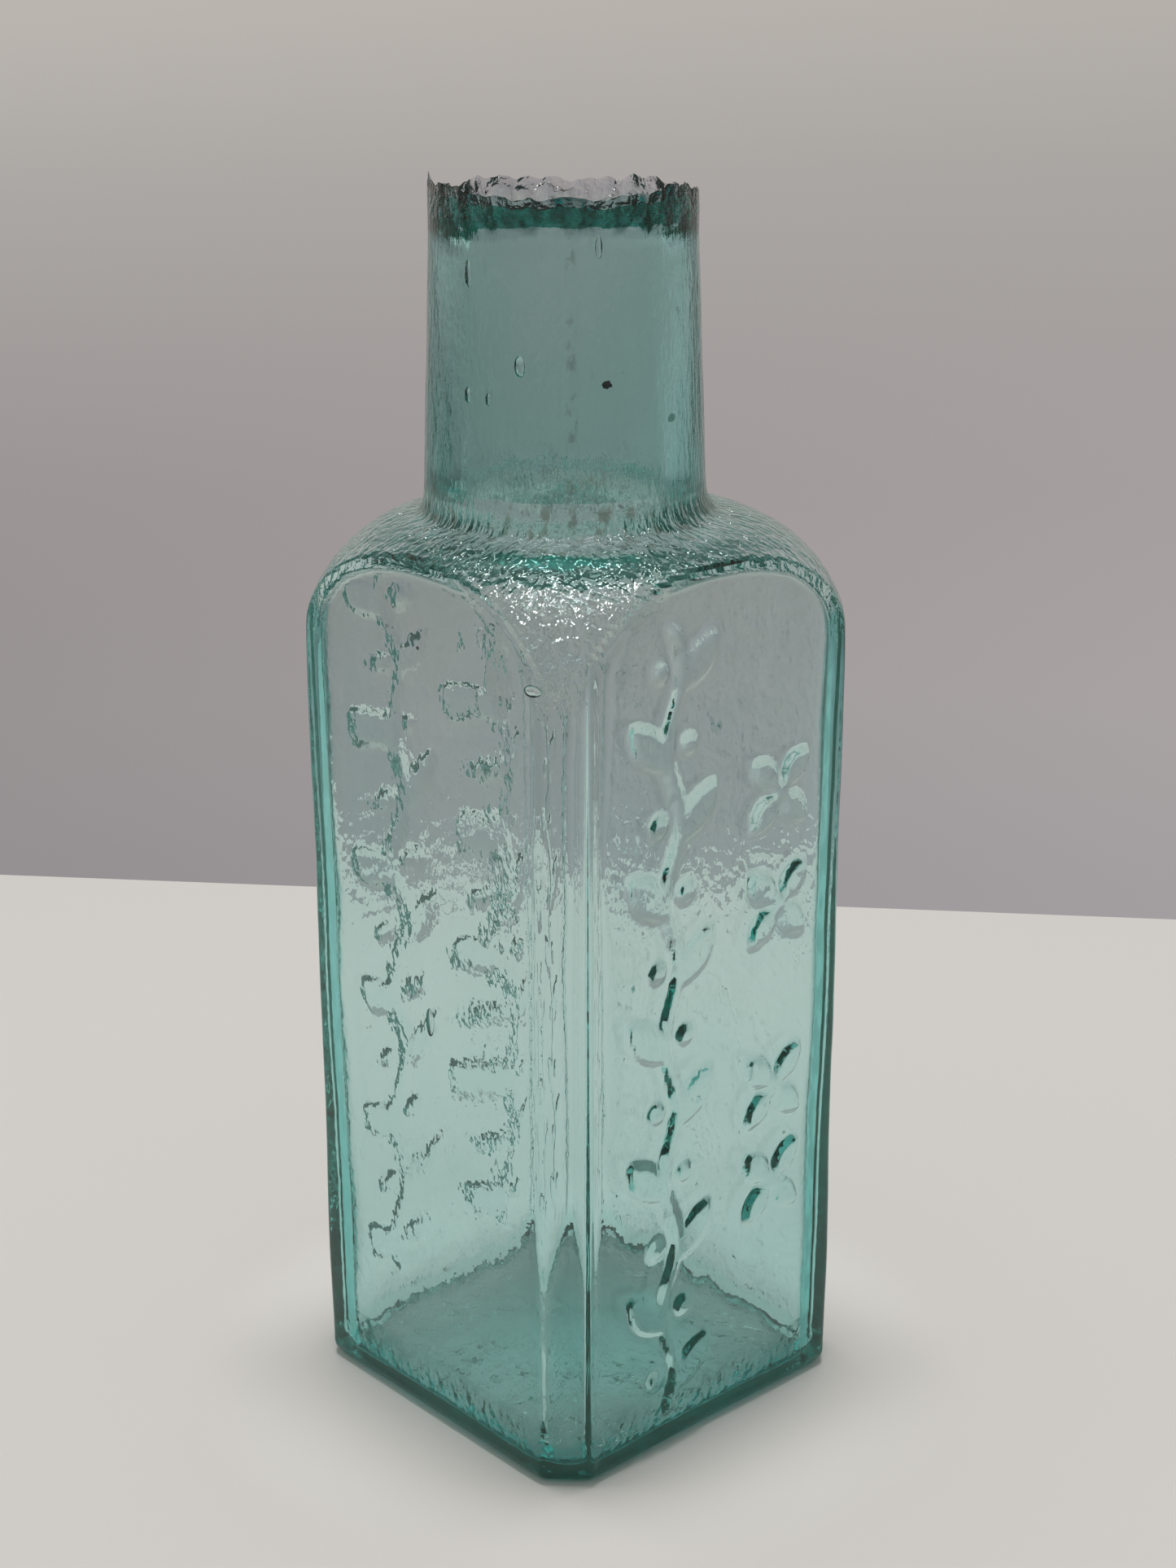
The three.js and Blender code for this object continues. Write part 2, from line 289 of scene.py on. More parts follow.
def panel_reach(angle, z, direction, distance, relief=None):
    """How far a flat panel facing direction lets the glass reach."""
    turn = np.angle(np.exp(1j * (angle - direction)))
    facing = np.maximum(np.cos(turn), 0.3)
    if relief is not None:
        distance = distance + relief(HALF_WIDTH * np.tan(np.clip(turn, -0.9, 0.9)), z)
    return distance / facing


def body_reach(angle, z, inset, with_relief=True):
    """The square body with cut corners, drawn in by inset on every side."""
    faces = [
        (FRONT, front_relief if with_relief else None),
        (BACK, back_relief if with_relief else None),
        (RIGHT, None),
        (LEFT, None),
    ]
    reaches = [panel_reach(angle, z, way, HALF_WIDTH - inset, relief) for way, relief in faces]
    for quarter in range(4):
        way = math.pi / 4 + quarter * math.pi / 2
        reaches.append(panel_reach(angle, z, way, CUT_DISTANCE - inset))
    return soft_min(reaches, ARRIS_SOFTNESS)


def outer_waves(points):
    """How far the mould's uneven surface draws the glass in."""
    broad = 0.10 * (1 + ripple(points, (9, 9, 14), 11))
    fine = 0.035 * (1 + ripple(points, (2.6, 2.6, 4.2), 12))
    return broad + fine


# --- rings of the outside ---


def perimeter_spacing(across, half_length, spacing):
    """How far apart columns stand on one side of the plan: closer near its two ends, the arrises."""
    return np.where(half_length - np.abs(across) < ARRIS_ZONE, ARRIS_SPACING, spacing)


def column_angles():
    """One angle per column round the body, close together over the relief and at the arrises."""
    cut_half = math.sqrt(CORNER_RADIUS**2 - CUT_DISTANCE**2)
    angles, weights = [], []
    for side in range(8):
        direction = -math.pi + side * math.pi / 4
        if side % 2:
            distance, half_length, spacing = CUT_DISTANCE, cut_half, CUT_SPACING
        else:
            distance, half_length = HALF_WIDTH, CUT_EDGE
            spacing = RELIEF_SPACING if side % 4 == 2 else PLAIN_SPACING
        across = np.arange(-half_length, half_length, FINE_STEP)
        angles.append(direction + np.arctan2(across, distance))
        weights.append(FINE_STEP / perimeter_spacing(across, half_length, spacing))
    angles, travelled = np.concatenate(angles), np.cumsum(np.concatenate(weights))
    count = round(travelled[-1])
    return np.interp(np.arange(count) * travelled[-1] / count, travelled, angles)


BODY_ANGLES = column_angles()
COLUMNS = len(BODY_ANGLES)
EVEN_ANGLES = BODY_ANGLES[0] + 2 * np.pi * np.arange(COLUMNS) / COLUMNS


def ring(angle, radius, z, shift=0.0):
    """Points at an angle and a radius round an axis that stands part of the way to the neck's."""
    x = radius * np.cos(angle) + shift * NECK_SHIFT[0]
    y = radius * np.sin(angle) + shift * NECK_SHIFT[1]
    return np.stack([x, y, np.broadcast_to(z, x.shape)], axis=-1)


def base_rings():
    """The underside, pushed up a little in the middle, then the rounded heel."""
    rings = []
    flat = body_reach(BODY_ANGLES, 0, HEEL_RADIUS, with_relief=False)
    for part in BASE_RING_PARTS:
        outline = part * flat
        hollow = PUSH_UP * (1 - part**2)
        hills = 1 + ripple(ring(BODY_ANGLES, outline, 0.0), 4, 13)
        uneven = BASE_UNEVENNESS * part * (1 - part) * hills
        rings.append(ring(BODY_ANGLES, outline, BASE_GAP + hollow + uneven))
    for step in range(1, HEEL_ROWS + 1):
        turn = step / HEEL_ROWS * math.pi / 2
        inset = HEEL_RADIUS * (1 - math.sin(turn))
        z = BASE_GAP + HEEL_RADIUS * (1 - math.cos(turn))
        reach = body_reach(BODY_ANGLES, z, inset, with_relief=False)
        blank = ring(BODY_ANGLES, reach, z)
        reach = reach - outer_waves(blank) * math.sin(turn)
        rings.append(ring(BODY_ANGLES, reach, z))
    return rings


def turned_reach(part):
    """Radius and height on the shoulder's quarter ellipse."""
    turn = part * math.pi / 2
    radius = CORNER_RADIUS - SHOULDER_REACH * (1 - math.cos(turn))
    return radius, SPRING_HEIGHT + SHOULDER_RISE * math.sin(turn)


def curve_points(start, bend, end, count):
    """Points after the start of a curve that bends towards the middle point."""
    t = np.linspace(0, 1, count + 1)[1:, None]
    start, bend, end = (np.asarray(p, float) for p in (start, bend, end))
    return (1 - t) ** 2 * start + 2 * t * (1 - t) * bend + t**2 * end


def shoulder_profile():
    """Radius and height up the shoulder and round the hollow at the foot of the neck."""
    wanted = NECK_BASE_RADIUS + NECK_FLARE
    last = math.acos(1 - (CORNER_RADIUS - wanted) / SHOULDER_REACH) / (math.pi / 2)
    profile = [turned_reach(part) for part in np.linspace(0, last, SHOULDER_ROWS)[1:]]
    foot = profile[-1]
    bend = (NECK_BASE_RADIUS + 0.1, foot[1] + 0.15)
    profile += list(curve_points(foot, bend, (NECK_BASE_RADIUS, NECK_BASE_HEIGHT), 9))
    return profile


def body_rings():
    rings = []
    start = BASE_GAP + HEEL_RADIUS
    for z in np.linspace(start, SPRING_HEIGHT, round((SPRING_HEIGHT - start) / WALL_STEP))[1:]:
        reach = body_reach(BODY_ANGLES, z, 0)
        seam = seam_rise(BODY_ANGLES, reach)
        reach = soft_min([reach, np.full_like(reach, CORNER_RADIUS + DOME_MARGIN)], SHOULDER_SOFTNESS)
        reach = reach - outer_waves(ring(BODY_ANGLES, reach, z)) + seam
        rings.append(ring(BODY_ANGLES, reach, z))
    return rings


def shoulder_rings():
    rings = []
    profile = shoulder_profile()
    for i, (radius, z) in enumerate(profile):
        part = (i + 1) / len(profile)
        turn = float(soft_step(part))
        angles = (1 - turn) * BODY_ANGLES + turn * EVEN_ANGLES
        dome = np.full(COLUMNS, float(radius) + DOME_MARGIN * (1 - part) ** 4)
        reach = soft_min([body_reach(angles, z, 0), dome], SHOULDER_SOFTNESS)
        shift = float(soft_step((z - SHIFT_START) / (NECK_BASE_HEIGHT - SHIFT_START)))
        blank = ring(angles, reach, z, shift)
        seam = seam_rise(angles, reach) * (1 - 0.55 * part)
        reach = reach - outer_waves(blank) * (1 - 0.5 * part) + seam
        rings.append(ring(angles, reach, z, shift))
    return rings


def neck_radius(z):
    taper = (z - NECK_BASE_HEIGHT) / (LIP_FOOT - NECK_BASE_HEIGHT)
    return NECK_BASE_RADIUS + (NECK_TOP_RADIUS - NECK_BASE_RADIUS) * min(taper, 1)


def neck_surface(z, angles):
    """The neck's outer radius with its waves and what is left of the seam. z may differ by column."""
    radius = np.array([neck_radius(height) for height in np.broadcast_to(z, angles.shape)])
    blank = ring(angles, radius, z, 1.0)
    broad = 0.07 * (1 + ripple(blank, (6, 6, 16), 21))
    streaks = 0.03 * (1 + ripple(blank, (1.3, 1.3, 5), 22))
    return radius - broad - streaks + seam_rise(angles, radius) * NECK_SEAM_SHARE


def neck_rings():
    rings = []
    count = round((LIP_FOOT - NECK_BASE_HEIGHT) / NECK_STEP)
    for z in np.linspace(NECK_BASE_HEIGHT, LIP_FOOT, count)[1:]:
        rings.append(ring(EVEN_ANGLES, neck_surface(z, EVEN_ANGLES), z, 1.0))
    return rings


# --- the broken lip ---


def rim_height(angle):
    """The jagged top edge of the lip, by the angle round the neck."""
    high = 0
    for centre, spread, height in RIM_SWELLS:
        away = np.angle(np.exp(1j * (angle - centre)))
        high = high + height * np.exp(-((away / spread) ** 2))
    teeth = 0.16 * np.sin(5 * angle + 1) + 0.12 * np.sin(13 * angle) + 0.1 * np.sin(29 * angle)
    around = ring(angle, NECK_TOP_RADIUS, 0.0)
    chips = 0.17 * ripple(around, 1.1, 31) + 0.14 * ripple(around, 0.5, 32)
    return np.minimum(LIP_HEIGHT + high + teeth + chips, TOP)


def flaking(angle, below):
    """How far flakes have come away from the outside, by the distance below the rim."""
    around = ring(angle, NECK_TOP_RADIUS, 0.0)
    depth = 0.15 + 0.75 * np.clip(ripple(around, 2.2, 33), 0, 1) + 0.15 * ripple(around, 0.6, 34)
    reach = 1.6 + 0.9 * ripple(around, 1.7, 35)
    return np.maximum(depth, 0) * np.clip(1 - below / reach, 0, 1) ** 1.5


def lip_rings():
    rings = []
    rim = rim_height(EVEN_ANGLES)
    for part in np.linspace(0, 1, LIP_ROWS + 1)[1:]:
        z = LIP_FOOT + (rim - LIP_FOOT) * part
        radius = neck_surface(z, EVEN_ANGLES) - flaking(EVEN_ANGLES, rim - z)
        rings.append(ring(EVEN_ANGLES, radius, z, 1.0))
    return rings


def scallops(points):
    """Shell-shaped hollows where flakes have come away: bowls that meet at sharp ridges."""
    rng = np.random.default_rng(SCALLOP_SEED)
    turn = rng.uniform(-np.pi, np.pi, SCALLOPS)
    radius = rng.uniform(BORE_RADIUS - 0.5, NECK_TOP_RADIUS + 0.3, SCALLOPS)
    size = rng.uniform(0.6, 1.5, SCALLOPS)
    centres = np.stack([radius * np.cos(turn), radius * np.sin(turn)], axis=-1)
    away = np.linalg.norm(points[..., None, :2] - centres, axis=-1) / size
    return np.clip(np.min(away, axis=-1), 0, 1) ** 2 - 1


def break_rings(rim_ring):
    """The broken face, from the jagged rim down and in to the bore."""
    rings = []
    outer = np.hypot(rim_ring[:, 0] - NECK_SHIFT[0], rim_ring[:, 1] - NECK_SHIFT[1])
    around = ring(EVEN_ANGLES, BORE_RADIUS, 0.0)
    inner_height = LIP_HEIGHT - BREAK_DROP + 0.3 * ripple(around, 6, 41) + 0.06 * ripple(around, 1.5, 42)
    inner = BORE_RADIUS + FUNNEL_WIDTH + 0.12 * ripple(around, 0.8, 43)
    for part in np.linspace(0, 1, BREAK_ROWS + 1)[1:]:
        radius = outer + (inner - outer) * part
        z = rim_ring[:, 2] + (inner_height - rim_ring[:, 2]) * part**0.85
        blank = ring(EVEN_ANGLES, radius, z, 0.0)
        crisp = 0.25 + 0.75 * soft_step(0.5 + 0.6 * np.cos(EVEN_ANGLES - FAR_SIDE))
        fade = math.sin(math.pi * min(part, 0.9)) ** 0.5
        z = z + crisp * (SCALLOP_DEPTH * scallops(blank) * fade + 0.18 * ripple(blank, 0.5, 44))
        rings.append(ring(EVEN_ANGLES, radius, z, 1.0))
    return rings


# --- the cavity ---


def wall_thickness(z):
    """The blown wall thins on its way up."""
    part = min(max(z / SPRING_HEIGHT, 0), 1)
    return WALL_AT_FOOT + (WALL_AT_SHOULDER - WALL_AT_FOOT) * part


def cavity_reach(angle, z, inset=0.0):
    """The inside of the body in plan: the outline drawn in by the wall, with softer corners."""
    wall = wall_thickness(z) + inset
    turn = np.abs(np.angle(np.exp(1j * (angle - FRONT_CORNER))))
    share = soft_step((turn - math.radians(25)) / math.radians(20))
    softness = CAVITY_SOFTNESS + (FAR_CORNER_SOFTNESS - CAVITY_SOFTNESS) * share
    reaches = []
    for side in range(8):
        distance = CUT_DISTANCE if side % 2 else HALF_WIDTH
        reaches.append(panel_reach(angle, z, side * math.pi / 4, distance - wall))
    return soft_min(reaches, softness)


def inner_waves(points):
    """The blown inside surface: broad soft hills, out from and in to the wall."""
    broad = 0.16 * ripple(points, (9, 9, 13), 51)
    middle = 0.05 * ripple(points, (3, 3, 5), 52)
    return broad + middle


def bore_rings(last_ring):
    rings = []
    top = last_ring[:, 2]
    for part in np.linspace(0, 1, BORE_ROWS + 1)[1:] ** 1.4:
        z = top + (BORE_FOOT_HEIGHT - top) * part
        blank = ring(EVEN_ANGLES, np.full(COLUMNS, BORE_RADIUS), z, 1.0)
        waves = 0.12 * ripple(blank, (7, 7, 12), 53) + 0.02 * ripple(blank, (1.6, 1.6, 6), 54)
        funnel = FUNNEL_WIDTH * np.clip(1 - (top - z) / FUNNEL_DROP, 0, 1) ** 2
        rings.append(ring(EVEN_ANGLES, BORE_RADIUS + funnel + waves * min(part * 8, 1), z, 1.0))
    return rings


def cavity_profile():
    """Radius and height from the foot of the bore down the inside of the shoulder."""
    under = []
    for turn in np.linspace(DOME_TOP_TURN, 0, CAVITY_DOME_ROWS):
        share = float(soft_step((turn - math.pi / 4) / (math.pi / 4)))
        wall = WALL_AT_SHOULDER + (WALL_AT_NECK - WALL_AT_SHOULDER) * share
        way = np.array([math.cos(turn) / SHOULDER_REACH, math.sin(turn) / SHOULDER_RISE])
        radius, z = turned_reach(turn / (math.pi / 2))
        under.append(np.array([radius, z]) - wall * way / np.linalg.norm(way))
    slope = SHOULDER_RISE / SHOULDER_REACH / math.tan(DOME_TOP_TURN)
    bend = (BORE_RADIUS + 0.3, under[0][1] + (under[0][0] - BORE_RADIUS - 0.3) * slope)
    return list(curve_points((BORE_RADIUS, BORE_FOOT_HEIGHT), bend, under[0], 12)) + under[1:]


def cavity_rings():
    rings = []
    profile = cavity_profile()
    for i, (radius, z) in enumerate(profile):
        part = (i + 1) / len(profile)
        dome = np.full(COLUMNS, float(radius))
        reach = soft_min([cavity_reach(EVEN_ANGLES, z), dome], CAVITY_SOFTNESS * part)
        shift = float(soft_step((z - SHIFT_START) / (BORE_FOOT_HEIGHT - SHIFT_START)))
        waves = inner_waves(ring(EVEN_ANGLES, reach, z, shift))
        rings.append(ring(EVEN_ANGLES, reach + waves * min(part * 2, 1), z, shift))
    dome = np.full(COLUMNS, float(profile[-1][0]))
    for part in np.linspace(0, 1, CAVITY_WALL_ROWS + 1)[1:]:
        z = SPRING_HEIGHT + (FLOOR + FOOT_CURVE_RISE - SPRING_HEIGHT) * part
        reach = soft_min([cavity_reach(EVEN_ANGLES, z), dome], CAVITY_SOFTNESS)
        rings.append(ring(EVEN_ANGLES, reach + inner_waves(ring(EVEN_ANGLES, reach, z)), z))
    return rings


def floor_height(points):
    """The inside of the base: a low lumpy mound."""
    x, y = points[..., 0], points[..., 1]
    out = (x**4 + y**4) ** 0.25 / (HALF_WIDTH - WALL_AT_FOOT)
    mound = FLOOR_RISE * (1 - np.minimum(out, 1) ** 2)
    lumps = 0.30 * ripple(points, 8, 61) + 0.20 * ripple(points, 3, 62)
    lumps = lumps + 0.08 * ripple(points, 1.5, 63)
    return FLOOR + mound + lumps * soft_step((1 - out) / 0.2)


def floor_rings():
    rings = []
    foot = FLOOR + FOOT_CURVE_RISE
    for step in range(1, FOOT_CURVE_ROWS + 1):
        part = step / FOOT_CURVE_ROWS
        reach = cavity_reach(EVEN_ANGLES, foot, FOOT_CURVE_REACH * part**2)
        z = (1 - part) ** 2 * FOOT_CURVE_RISE + floor_height(ring(EVEN_ANGLES, reach, 0.0))
        reach = reach + inner_waves(ring(EVEN_ANGLES, reach, foot)) * (1 - part)
        rings.append(ring(EVEN_ANGLES, reach, z))
    flat = cavity_reach(EVEN_ANGLES, foot, FOOT_CURVE_REACH)
    for part in FLOOR_RING_PARTS:
        blank = ring(EVEN_ANGLES, part * flat, 0.0)
        rings.append(ring(EVEN_ANGLES, part * flat, floor_height(blank)))
    return rings


# --- air bubbles in the wall ---


def bubble(centre, facing, across, tall, deep, columns=20, rows=14):
    """The points and faces of a void drawn out up the wall. Its faces look into the air inside."""
    out = np.array([math.cos(facing), math.sin(facing), 0.0])
    side = np.array([-out[1], out[0], 0.0])
    up = np.array([0.0, 0.0, 1.0])
    points = [np.array(centre) - up * tall / 2]
    for i in range(1, rows):
        tilt = math.pi * i / rows
        for j in range(columns):
            turn = 2 * math.pi * j / columns
            flat = side * across / 2 * math.cos(turn) + out * deep / 2 * math.sin(turn)
            points.append(np.array(centre) + flat * math.sin(tilt) - up * tall / 2 * math.cos(tilt))
    points.append(np.array(centre) + up * tall / 2)
    last = len(points) - 1
    faces = []
    for j in range(columns):
        after = (j + 1) % columns
        faces.append((0, 1 + after, 1 + j))
        for i in range(rows - 2):
            row = 1 + i * columns
            faces.append((row + j, row + after, row + columns + after, row + columns + j))
        row = 1 + (rows - 2) * columns
        faces.append((row + j, row + after, last))
    return np.array(points), faces


# --- putting the rings together ---


def glass_rings():
    """The rings of the outside, of the broken face and of the inside, from the base round to the floor."""
    outside = base_rings() + body_rings() + shoulder_rings() + neck_rings() + lip_rings()
    broken = break_rings(outside[-1])
    inside = bore_rings(broken[-1]) + cavity_rings() + floor_rings()
    return outside, broken, inside


def build_glass():
    """The bottle's points and faces, which faces are left flat, and which points are outside."""
    outside, broken, inside = glass_rings()
    rings = np.array(outside + broken + inside)
    count = len(rings)
    points = rings.reshape(-1, 3)
    bottom = np.array([0, 0, rings[0][:, 2].mean()])
    floor = np.array([0, 0, rings[-1][:, 2].mean()])
    points = np.vstack([points, bottom, floor])
    bottom_index, floor_index = len(points) - 2, len(points) - 1
    j = np.arange(COLUMNS)
    after = (j + 1) % COLUMNS
    faces = []
    flat = []
    for i in range(count - 1):
        a, b = i * COLUMNS, (i + 1) * COLUMNS
        faces += list(zip(a + j, a + after, b + after, b + j))
        broken_row = len(outside) - 1 - CRISP_LIP_ROWS <= i < len(outside) + len(broken) - 1
        flat += [broken_row] * COLUMNS
    last = (count - 1) * COLUMNS
    faces += [(bottom_index, int(n), int(m)) for m, n in zip(j, after)]
    faces += [(floor_index, int(last + m), int(last + n)) for m, n in zip(j, after)]
    flat += [False] * (2 * COLUMNS)
    outer = np.zeros(len(points), bool)
    outer[: len(outside) * COLUMNS] = True
    outer[bottom_index] = True
    return points, faces, flat, outer


def surface_marks(points, outer):
    """How strong each kind of unevenness, stain, greying or painted shade is at every point, for the
    material to read.
    """
    x, y, z = points.T
    neck_x, neck_y = x - NECK_SHIFT[0], y - NECK_SHIFT[1]

    # Parts of the bottle
    on_neck = soft_step((z - NECK_BASE_HEIGHT + 1) / 1.5)
    on_body = 1 - on_neck
    on_face = soft_step((np.maximum(np.abs(x), np.abs(y)) - HALF_WIDTH + 0.7) / 0.35) * on_body
    on_dome = soft_step((z - SPRING_HEIGHT + 1) / 5) * on_body * (1 - on_face)
    on_left = soft_step(-x - HALF_WIDTH + 1.5) * on_body
    on_far = soft_step(np.maximum(x, y) - HALF_WIDTH + 1.5) * on_body
    on_heel = soft_step((3 - z) / 2) * soft_step((z - 0.3) / 0.5)
    fresh = soft_step((np.hypot(neck_x, neck_y) - 9) / 0.5) * soft_step((z - LIP_HEIGHT + 3) / 1.5)
    seam_turn = np.angle(np.exp(1j * (np.arctan2(neck_y, neck_x) - SEAM_ANGLE + np.pi)))
    by_seam = soft_step(1.5 - np.abs(seam_turn) * NECK_TOP_RADIUS / 0.35) * on_neck
    round_foot = soft_step(1.4 - np.abs(z - NECK_BASE_HEIGHT + 1) / 2)
    on_floor = soft_step((5 - z) / 2)

    # Painted shade: a teal shade at the heel and the cuts at the sides, where the glass is deep, and a
    # dark shade under the lip, at the neck's foot and on the side cuts
    by_edge = soft_step(((x**4 + y**4) ** 0.25 - 15) / 3)
    by_edge = by_edge * (1 - 0.85 * soft_step((x + y) / 8 + 0.5))
    at_heel = soft_step((2.6 - z) / 1.2) * (0.2 + 0.8 * by_edge)
    out_cut = (np.abs(x) + np.abs(y)) / math.sqrt(2) - CUT_DISTANCE
    at_side_cuts = soft_step((out_cut + 0.7) / 0.5) * soft_step(0.5 - x * y / 40) * on_body
    dark_cuts = at_side_cuts * np.where(x > 0, 0.6, 0.35)
    # Painted shade: a band under the lip and patches beside the neck's foot, on the near side
    from_front = np.arctan2(neck_y, neck_x) - FRONT_CORNER
    near_side = soft_step(np.cos(from_front) / 0.4 + 0.5)
    ragged = 0.9 * ripple(points, (1.6, 1.6, 3), 71)
    band_depth = 2.8 + 1.0 * np.sin(from_front) ** 2
    under_lip = soft_step((z - LIP_HEIGHT + band_depth + ragged) / 0.9) * near_side
    beside = soft_step((np.abs(np.sin(from_front)) - 0.75) / 0.15) * near_side
    at_neck_foot = soft_step(1.2 - np.abs(z - NECK_BASE_HEIGHT - 0.4 + ragged) / 1.6) * beside

    # How uneven the outside is
    hammered = 0.06 + 0.08 * on_left + 0.9 * on_far + 1.4 * on_dome + 0.12 * on_heel
    pitted = 0.1 + 0.12 * on_left + 0.8 * on_far + 2.2 * on_dome + 0.25 * on_neck + 0.3 * on_heel

    # How strong each mark is
    return {
        "spoked": np.where(outer, 2.3 * on_dome + 0.35 * on_neck * (1 - fresh), 0),
        "hammered": np.where(outer, hammered, 0.04 + 1.5 * on_floor),
        "pitted": np.where(outer, pitted, 0.05 + 2 * on_floor),
        "broken": fresh,
        # Painted shade: teal at the heel and the side cuts
        "deep": np.where(outer, np.maximum(at_heel, 0.8 * at_side_cuts), 0),
        # Painted shade under the lip, at the neck's foot and on the side cuts
        "dark_shade": np.where(outer, np.maximum.reduce([under_lip, 0.8 * at_neck_foot, dark_cuts]), 0),
        "inside_grey": np.where(outer, 0, soft_step((z - 40) / 20) * 0.5 + 0.15 * on_neck),
        "stained": np.where(outer, np.maximum(0.8 * by_seam, round_foot), 0),
    }


def mesh_object(name, points, faces, flat, marks):
    mesh = bpy.data.meshes.new(name)
    mesh.from_pydata((points * MM).tolist(), [], [tuple(int(v) for v in face) for face in faces])
    mesh.polygons.foreach_set("use_smooth", [not f for f in flat])
    for mark, values in marks.items():
        mesh.attributes.new(mark, "FLOAT", "POINT").data.foreach_set("value", values)
    mesh.validate()
    mesh.update()
    made = bpy.data.objects.new(name, mesh)
    bpy.context.scene.collection.objects.link(made)
    return made


def bubbles():
    """The points and faces of each bubble: those round the neck, then those in the left face."""
    made = []
    for turn, z, across, tall in NECK_BUBBLES:
        radius = (neck_radius(z) + BORE_RADIUS) / 2 + BUBBLE_SHIFT
        angle = math.radians(turn)
        centre = (radius * math.cos(angle) + NECK_SHIFT[0], radius * math.sin(angle) + NECK_SHIFT[1], z)
        made.append(bubble(centre, angle, across, tall, 0.45 * across))
    for x, y, z, turn, across, tall in FACE_BUBBLES:
        made.append(bubble((x, y, z), math.radians(turn), across, tall, BUBBLE_DEPTH))
    return made


def glass_bottle():
    points, faces, flat, outer = build_glass()
    marks = surface_marks(points, outer)
    for more, sides in bubbles():
        faces += [tuple(len(points) + v for v in side) for side in sides]
        flat += [False] * len(sides)
        marks = {mark: np.concatenate([values, np.zeros(len(more))]) for mark, values in marks.items()}
        points = np.vstack([points, more])
    return mesh_object("aqua_bottle", points, faces, flat, marks)


# --- materials ---

GLASS_COLOUR = (0.0, 0.686, 0.636, 1)
GLASS_DENSITY = 118.0
GLASS_IOR = 1.52
BUMP_HEIGHT = 0.00022
# Painted shade: teal at the heel and the side cuts
DEEP_SHADE_COLOUR = (0.01, 0.76, 0.72, 1)
# Painted shade: dark teal under the lip, at the neck's foot and on the side cuts
DARK_SHADE_COLOUR = (0.0, 0.12, 0.11, 1)
INSIDE_GREY_COLOUR = (0.80, 0.80, 0.79, 1)
STAIN_COLOUR = (0.42, 0.36, 0.31, 1)
SPECK_COLOUR = (0.15, 0.13, 0.11, 1)

# Stones in the glass: place in millimetres, radius and shade
STONES = [
    ((-6.1, -10.9, 103.3), 0.52, (0.004, 0.004, 0.004, 1)),
    ((0.6, -12.0, 99.8), 0.6, (0.10, 0.24, 0.19, 1)),
    ((-20.0, -0.7, 79.9), 0.25, (0.01, 0.01, 0.01, 1)),
]


class Nodes:
    """Adds and joins the nodes of a material or a world."""

    def __init__(self, owner):
        self.tree = owner.node_tree

    def add(self, kind, **settings):
        made = self.tree.nodes.new("ShaderNode" + kind)
        for name, value in settings.items():
            setattr(made, name, value)
        return made

    def put(self, socket, value):
        if hasattr(value, "is_output"):
            self.tree.links.new(value, socket)
        else:
            socket.default_value = value

    def math(self, operation, first, second=0.0, third=0.0):
        made = self.add("Math", operation=operation)
        for socket, value in zip(made.inputs, (first, second, third)):
            self.put(socket, value)
        return made.outputs[0]

    def place(self):
        return self.add("TexCoord").outputs["Object"]

    def stretched(self, scale):
        made = self.add("Mapping")
        self.put(made.inputs["Vector"], self.place())
        made.inputs["Scale"].default_value = scale
        return made.outputs[0]

    def spokes(self, per_radian, per_metre):
        """A place for marks that run down from the axis, so many per radian round it and per metre."""
        flat = self.add("VectorMath", operation="MULTIPLY")
        self.put(flat.inputs[0], self.place())
        flat.inputs[1].default_value = (1, 1, 0)
        way = self.add("VectorMath", operation="NORMALIZE")
        self.put(way.inputs[0], flat.outputs[0])
        spread = self.add("VectorMath", operation="SCALE")
        self.put(spread.inputs[0], way.outputs[0])
        spread.inputs["Scale"].default_value = per_radian
        out = self.add("VectorMath", operation="LENGTH")
        self.put(out.inputs[0], flat.outputs[0])
        split, around = self.add("SeparateXYZ"), self.add("SeparateXYZ")
        self.put(split.inputs[0], self.place())
        self.put(around.inputs[0], spread.outputs[0])
        down = self.math("SUBTRACT", split.outputs["Z"], out.outputs["Value"])
        joined = self.add("CombineXYZ")
        self.put(joined.inputs["X"], around.outputs["X"])
        self.put(joined.inputs["Y"], around.outputs["Y"])
        self.put(joined.inputs["Z"], self.math("MULTIPLY", down, per_metre))
        return joined.outputs[0]

    def noise(self, vector, per_metre, detail=2.0, roughness=0.5):
        made = self.add("TexNoise")
        self.put(made.inputs["Vector"], vector)
        made.inputs["Scale"].default_value = per_metre
        made.inputs["Detail"].default_value = detail
        made.inputs["Roughness"].default_value = roughness
        return made.outputs["Fac"]

    def between(self, value, low, high, to_low=0.0, to_high=1.0):
        made = self.add("MapRange", interpolation_type="SMOOTHSTEP")
        for socket, number in zip(made.inputs, (value, low, high, to_low, to_high)):
            self.put(socket, number)
        return made.outputs[0]

    def mark(self, name):
        return self.add("Attribute", attribute_name=name).outputs["Fac"]

    def mix(self, share, first, second):
        made = self.add("Mix", data_type="RGBA")
        self.put(made.inputs["Factor"], share)
        self.put(made.inputs[6], first)
        self.put(made.inputs[7], second)
        return made.outputs[2]


def new_material(name):
    """A material, its nodes and its main shader."""
    material = bpy.data.materials.new(name)
    material.use_nodes = True
    return material, Nodes(material), material.node_tree.nodes["Principled BSDF"]


